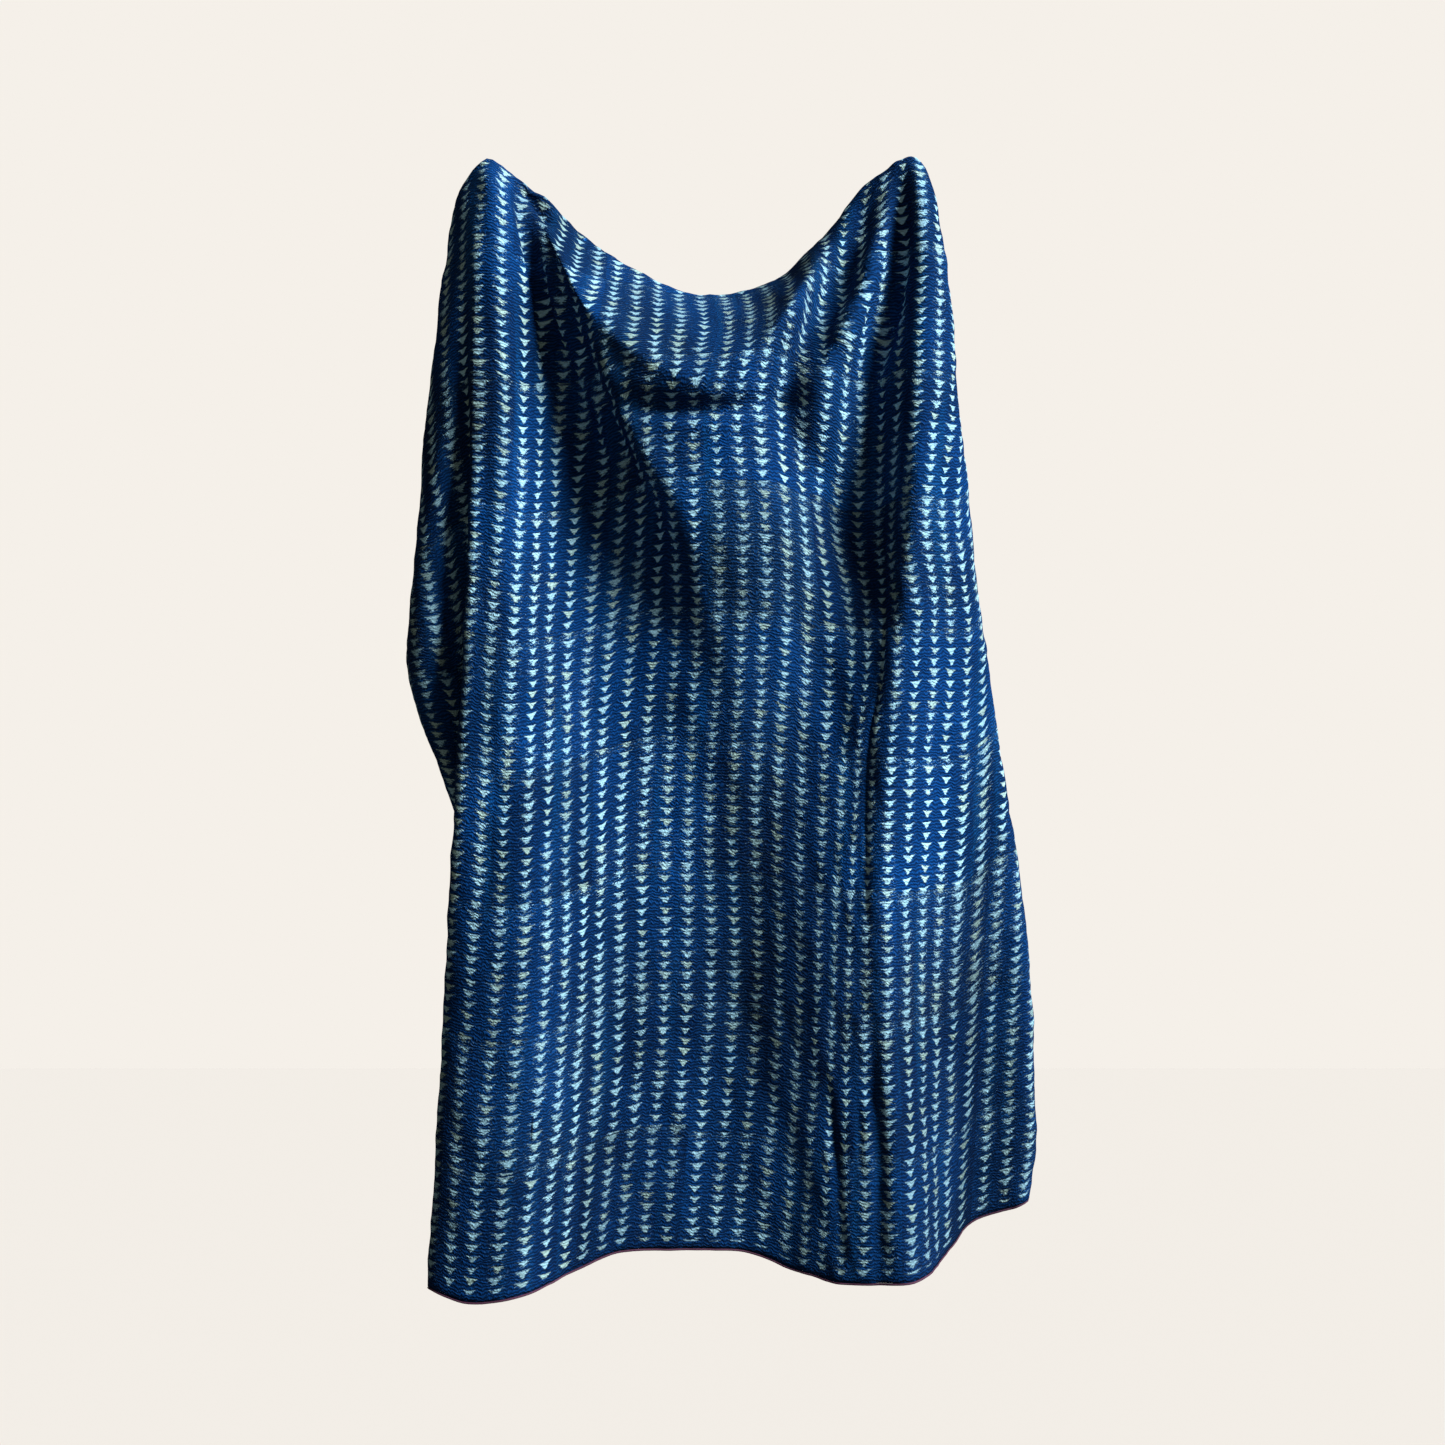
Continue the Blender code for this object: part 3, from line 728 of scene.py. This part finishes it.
def print_share(graph, u, v, columns, rows, flecked):
    """How much of the pale print covers each place, and each motif's own chance."""
    column = graph.math("FLOOR", columns)
    row = graph.math("FLOOR", rows)
    rag, dip, size = graph.chance(column, row, 1.0)
    move_u, move_v, tilt = graph.chance(column, row, 9.0)

    # Each column is ragged for a stretch, where the block pressed unevenly, and clean for another
    worn = graph.grain(column, v, 3.7, 8.0, 4.0, detail=1.0)
    worn = graph.ramp(graph.add(worn, graph.mul(flecked, 0.16)), 0.31, 0.58)
    ragged = graph.add(0.20, graph.mul(graph.ramp(rag, 0.0, 0.6, 0.4, 1.0), worn))
    fray = graph.sub(graph.grain(u, v, 240.0, 700.0, 2.0, detail=3.0, roughness=0.65), 0.5)
    lift = graph.sub(graph.grain(u, v, 330.0, 420.0, 5.0, detail=2.0), 0.5)
    x = graph.mul(graph.sub(graph.math("FRACT", columns), 0.5), COLUMN_PITCH)
    x = graph.add(x, graph.mul(graph.sub(move_u, 0.5), 0.0020))
    x = graph.add(x, graph.mul(graph.mul(fray, ragged), 0.0175))
    y = graph.mul(graph.math("FRACT", rows), ROW_PITCH)
    y = graph.add(y, graph.mul(graph.sub(move_v, 0.5), 0.0008))
    y = graph.add(y, graph.mul(graph.mul(lift, ragged), 0.0048))
    y = graph.add(y, graph.mul(graph.mul(graph.sub(tilt, 0.5), x), 0.28))
    height = graph.mul(TRIANGLE_HEIGHT, graph.ramp(size, 0.0, 1.0, 0.84, 1.06))
    half_width = graph.mul(TRIANGLE_WIDTH / 2, graph.ramp(size, 0.0, 1.0, 0.82, 1.12))
    across = graph.div(graph.math("ABSOLUTE", x), half_width)
    up = graph.div(graph.sub(y, (ROW_PITCH - TRIANGLE_HEIGHT) / 2), height)

    # Narrow at the foot, nearly straight sides, and corners drawn out at the top
    high = graph.math("POWER", graph.math("MAXIMUM", up, 0.0), 5.0)
    side = graph.add(0.12, graph.add(graph.mul(up, 0.68), graph.mul(high, 0.26)))
    top = graph.sub(1.0, graph.mul(graph.mul(dip, 0.16), graph.sub(1.0, graph.math("MINIMUM", across, 1.0))))
    inside = graph.math("MINIMUM", graph.sub(side, across), graph.mul(graph.sub(top, up), 1.4))
    inside = graph.math("MINIMUM", inside, graph.mul(up, 1.6))
    motif = graph.ramp(inside, graph.sub(-0.06, graph.mul(worn, 0.10)), 0.13)

    # Fine dry lines inside the motifs where the ribs kept the block off
    dry = graph.grain(u, v, 260.0, 900.0, 12.0, detail=2.0)
    motif = graph.mul(motif, graph.ramp(dry, 0.30, 0.50, graph.sub(0.82, graph.mul(worn, 0.45)), 1.0))

    # Fine streaks and dots of resist beside the ragged motifs, drawn out along the ribs
    streak = graph.grain(u, v, 290.0, 760.0, 8.0, detail=3.0, roughness=0.7)
    near = graph.ramp(across, 2.4, 0.5)
    often = graph.add(graph.mul(worn, 0.09), graph.add(graph.mul(near, 0.03), graph.mul(flecked, 0.03)))
    flecks = graph.ramp(graph.sub(streak, graph.sub(0.73, often)), 0.0, 0.06)
    flecks = graph.mul(flecks, graph.add(0.08, graph.mul(near, 0.67)))
    share = graph.math("MAXIMUM", motif, flecks)
    printed = graph.ramp(v, PLAIN_HEM - 0.001, PLAIN_HEM + 0.001)
    return graph.mul(share, printed), tilt


def soft_patch(graph, u, v, middle_u, middle_v, reach_u, reach_v):
    """A soft round patch on the cloth, 1 in its middle and 0 past its reach."""
    off_u = graph.div(graph.sub(u, middle_u), reach_u)
    off_v = graph.div(graph.sub(v, middle_v), reach_v)
    away = graph.math("SQRT", graph.add(graph.mul(off_u, off_u), graph.mul(off_v, off_v)))
    return graph.ramp(away, 1.0, 0.2)


def cloth_material():
    """Indigo cotton with a pale block print, in layers puckered by rows of running stitches."""
    graph = Graph("block_printed_indigo")
    uv = graph.node("ShaderNodeUVMap", uv_map="cloth_metres")
    parts = graph.node("ShaderNodeSeparateXYZ", {"Vector": uv.outputs[0]})
    u, v = parts.outputs[0], parts.outputs[1]
    ribs = rib_height(graph, u, v)
    across, up, columns, rows, edge, top = block_place(graph, u, v)
    darkening, haze, flecked = block_looks(graph, across, up)
    flecked = graph.add(flecked, graph.mul(top, 1.3))
    haze = graph.add(haze, graph.mul(top, 0.35))
    share, chance = print_share(graph, u, v, columns, rows, flecked)

    # Indigo, uneven in clouds, along the columns and from block to block
    clouds = graph.grain(u, v, 7.0, 5.0, 1.0, detail=3.0)
    bands = graph.grain(u, v, 42.0, 2.5, 6.0, detail=2.0)
    ground = graph.blend(graph.ramp(clouds, 0.35, 0.68), DEEP_INDIGO, INDIGO)
    ground = graph.blend(graph.mul(graph.ramp(bands, 0.5, 0.72), 0.35), ground, WORN_INDIGO)
    ground = graph.blend(graph.mul(haze, 0.45), ground, HAZE_INDIGO)
    # Soft patches that darken or lighten the cloth: partly uneven dye, partly painted shade of the folds and
    # of the light's falloff, and the painted shade of a small slit
    for middle_u, middle_v, reach_u, reach_v, amount in DYE_AND_SHADE_PATCHES:
        patch = soft_patch(graph, u, v, middle_u, middle_v, reach_u, reach_v)
        if amount > 0:
            darkening = graph.add(darkening, graph.mul(patch, amount))
        else:
            darkening = graph.sub(darkening, graph.mul(patch, -amount))
    seam = graph.mul(graph.ramp(edge, 0.012, 0.0), graph.sub(1.0, graph.mul(share, 0.7)))
    darkening = graph.add(darkening, graph.mul(seam, 0.35))
    tint = graph.ramp(graph.add(chance, graph.grain(u, v, 24.0, 24.0, 2.5)), 0.95, 1.5)
    pale = graph.blend(tint, PRINT_PALE, PRINT_WARM)
    colour = graph.blend(graph.mul(share, 0.95), ground, pale)

    # The hollows between the ribs are in their own shade
    hollow = graph.sub(1.0, graph.ramp(ribs, 0.0, 0.6))
    hollow = graph.mul(hollow, graph.sub(HOLLOW_SHADE, graph.mul(share, HOLLOW_SHADE_LESS)))
    shade = graph.mul(graph.sub(1.0, hollow), graph.sub(1.0, darkening))
    # Darker towards the hem: painted shade of the light falling off downward, with some deeper dye
    shade = graph.mul(shade, graph.ramp(v, LOWER_SHADE_AND_DYE_FROM, LOWER_SHADE_AND_DYE_TO, LOWER_SHADE_AND_DYE, 1.0))
    grey = graph.node("ShaderNodeCombineColor", {"Red": shade, "Green": shade, "Blue": shade}).outputs[0]
    graph.put(graph.shader.inputs["Base Color"], graph.blend(1.0, colour, grey, mode="MULTIPLY"))

    weave = graph.grain(u, v, 1400.0, 1400.0, 0.0, detail=1.0)
    height = graph.add(ribs, graph.mul(weave, 0.10))
    bump = graph.node(
        "ShaderNodeBump",
        {"Strength": RIB_BUMP_STRENGTH, "Distance": RIB_BUMP_DEPTH, "Height": height},
    )
    graph.put(graph.shader.inputs["Normal"], bump.outputs[0])
    graph.put(graph.shader.inputs["Roughness"], graph.ramp(ribs, 0.0, 1.0, 0.95, 0.82))
    graph.shader.inputs["Specular IOR Level"].default_value = 0.07
    return graph.material


def binding_material():
    """Plum cotton of the narrow binding, with a fine weave."""
    graph = Graph("plum_cotton")
    place = graph.node("ShaderNodeTexCoord").outputs["Object"]
    noise = graph.node("ShaderNodeTexNoise", {"Vector": place, "Scale": 420.0, "Detail": 3.0})
    darkest = tuple(part * PLUM_DARKEST for part in PLUM)
    lightest = tuple(part * PLUM_LIGHTEST for part in PLUM)
    colour = graph.blend(noise.outputs["Fac"], darkest, lightest)
    graph.put(graph.shader.inputs["Base Color"], colour)
    bump = graph.node("ShaderNodeBump", {"Strength": 0.5, "Distance": 0.0004, "Height": noise.outputs["Fac"]})
    graph.put(graph.shader.inputs["Normal"], bump.outputs[0])
    graph.shader.inputs["Roughness"].default_value = 0.85
    return graph.material


def make_binding(rows, normals, material):
    """The binding: a rounded strip all round the cloth's edge, just outside it."""
    walk = edge_walk(*rows.shape[:2])
    edge = np.array([rows[place] for place in walk])
    facing = np.array([normals[place] for place in walk])
    outward = np.cross(facing, np.roll(edge, -1, axis=0) - edge)
    outward /= np.linalg.norm(outward, axis=1)[:, None]
    outward = outward + np.roll(outward, 1, axis=0)
    outward /= np.linalg.norm(outward, axis=1)[:, None]
    points, uvs = [], []
    for ring, (point, out, normal) in enumerate(zip(edge, outward, facing)):
        middle = point + out * (BINDING_GAP + BINDING_WIDTH / 2)
        for side in range(BINDING_SIDES):
            angle = 2 * math.pi * (side + 0.5) / BINDING_SIDES
            points.append(
                middle
                - out * BINDING_WIDTH / 2 * math.cos(angle) * BINDING_SWELL
                - normal * BINDING_THICKNESS / 2 * math.sin(angle) * BINDING_SWELL
            )
            uvs.append((side / BINDING_SIDES, ring / len(edge)))
    faces = []
    for ring in range(len(walk)):
        following = (ring + 1) % len(walk)
        for side in range(BINDING_SIDES):
            beside = (side + 1) % BINDING_SIDES
            faces.append(
                (
                    BINDING_SIDES * ring + side,
                    BINDING_SIDES * ring + beside,
                    BINDING_SIDES * following + beside,
                    BINDING_SIDES * following + side,
                )
            )
    return mesh_object("sewn_binding", points, faces, uvs, material)


def make_floor():
    """A plain pale floor, well below the hung throw."""
    half = FLOOR_SIZE / 2
    mesh = bpy.data.meshes.new("floor")
    corners = ((-half, -half), (half, -half), (half, half), (-half, half))
    mesh.from_pydata([(x, y, FLOOR_HEIGHT) for x, y in corners], [], [(0, 1, 2, 3)])
    floor = bpy.data.objects.new("floor", mesh)
    bpy.context.scene.collection.objects.link(floor)
    graph = Graph("pale_floor")
    graph.shader.inputs["Base Color"].default_value = (*FLOOR_CREAM, 1.0)
    graph.shader.inputs["Roughness"].default_value = 1.0
    graph.shader.inputs["Specular IOR Level"].default_value = 0.0
    mesh.materials.append(graph.material)
    floor.visible_diffuse = False
    floor.visible_glossy = False


def make_world():
    """A plain cream surround, dim for the light that it sends to the cloth."""
    world = bpy.data.worlds.new("surround")
    bpy.context.scene.world = world
    world.use_nodes = True
    tree = world.node_tree
    seen = tree.nodes["Background"]
    seen.inputs["Color"].default_value = (*CREAM, 1.0)
    fill = tree.nodes.new("ShaderNodeBackground")
    fill.inputs["Color"].default_value = (*FILL_COLOUR, 1.0)
    fill.inputs["Strength"].default_value = FILL_STRENGTH
    path = tree.nodes.new("ShaderNodeLightPath")
    mix = tree.nodes.new("ShaderNodeMixShader")
    tree.links.new(path.outputs["Is Camera Ray"], mix.inputs[0])
    tree.links.new(fill.outputs[0], mix.inputs[1])
    tree.links.new(seen.outputs[0], mix.inputs[2])
    tree.links.new(mix.outputs[0], tree.nodes["World Output"].inputs[0])


def make_light(name, kind, place, strength, colour, size):
    """A sun or a disk of light that faces the middle of the throw."""
    light = bpy.data.lights.new(name, kind)
    light.energy = strength
    light.color = colour
    if kind == "SUN":
        light.angle = size
    else:
        light.shape = "DISK"
        light.size = size
    thing = bpy.data.objects.new(name, light)
    thing.location = place
    thing.rotation_mode = "QUATERNION"
    thing.rotation_quaternion = (Vector(LIT_PLACE) - Vector(place)).to_track_quat("-Z", "Y")
    bpy.context.scene.collection.objects.link(thing)


def make_lights():
    """A sun from the right, in front and above, and a weak disk of light in front."""
    make_light("key", "SUN", *KEY_LIGHT)
    make_light("front", "AREA", *FRONT_LIGHT)


def make_camera():
    """The camera, level, looking straight at the throw from the eye."""
    camera = bpy.data.cameras.new("camera")
    camera.sensor_width = CAMERA_SENSOR
    camera.lens = CAMERA_SENSOR * EYE_DISTANCE / FRAME_WIDTH
    thing = bpy.data.objects.new("camera", camera)
    thing.location = (EYE_ACROSS, -EYE_DISTANCE, -EYE_DOWN)
    thing.rotation_euler = (math.pi / 2, 0.0, 0.0)
    bpy.context.scene.collection.objects.link(thing)
    bpy.context.scene.camera = thing


def main():
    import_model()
    rows, widths, along = cloth_grid()
    normals = surface_normals(rows)
    cloth = make_cloth(rows, normals, widths, along, cloth_material())
    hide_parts("throw_cloth")
    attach(cloth, "root")
    binding = make_binding(rows, normals, binding_material())
    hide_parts("edge_binding")
    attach(binding, "root")
    make_floor()
    make_world()
    make_lights()
    make_camera()
    bpy.context.scene.view_settings.view_transform = "Standard"


main()
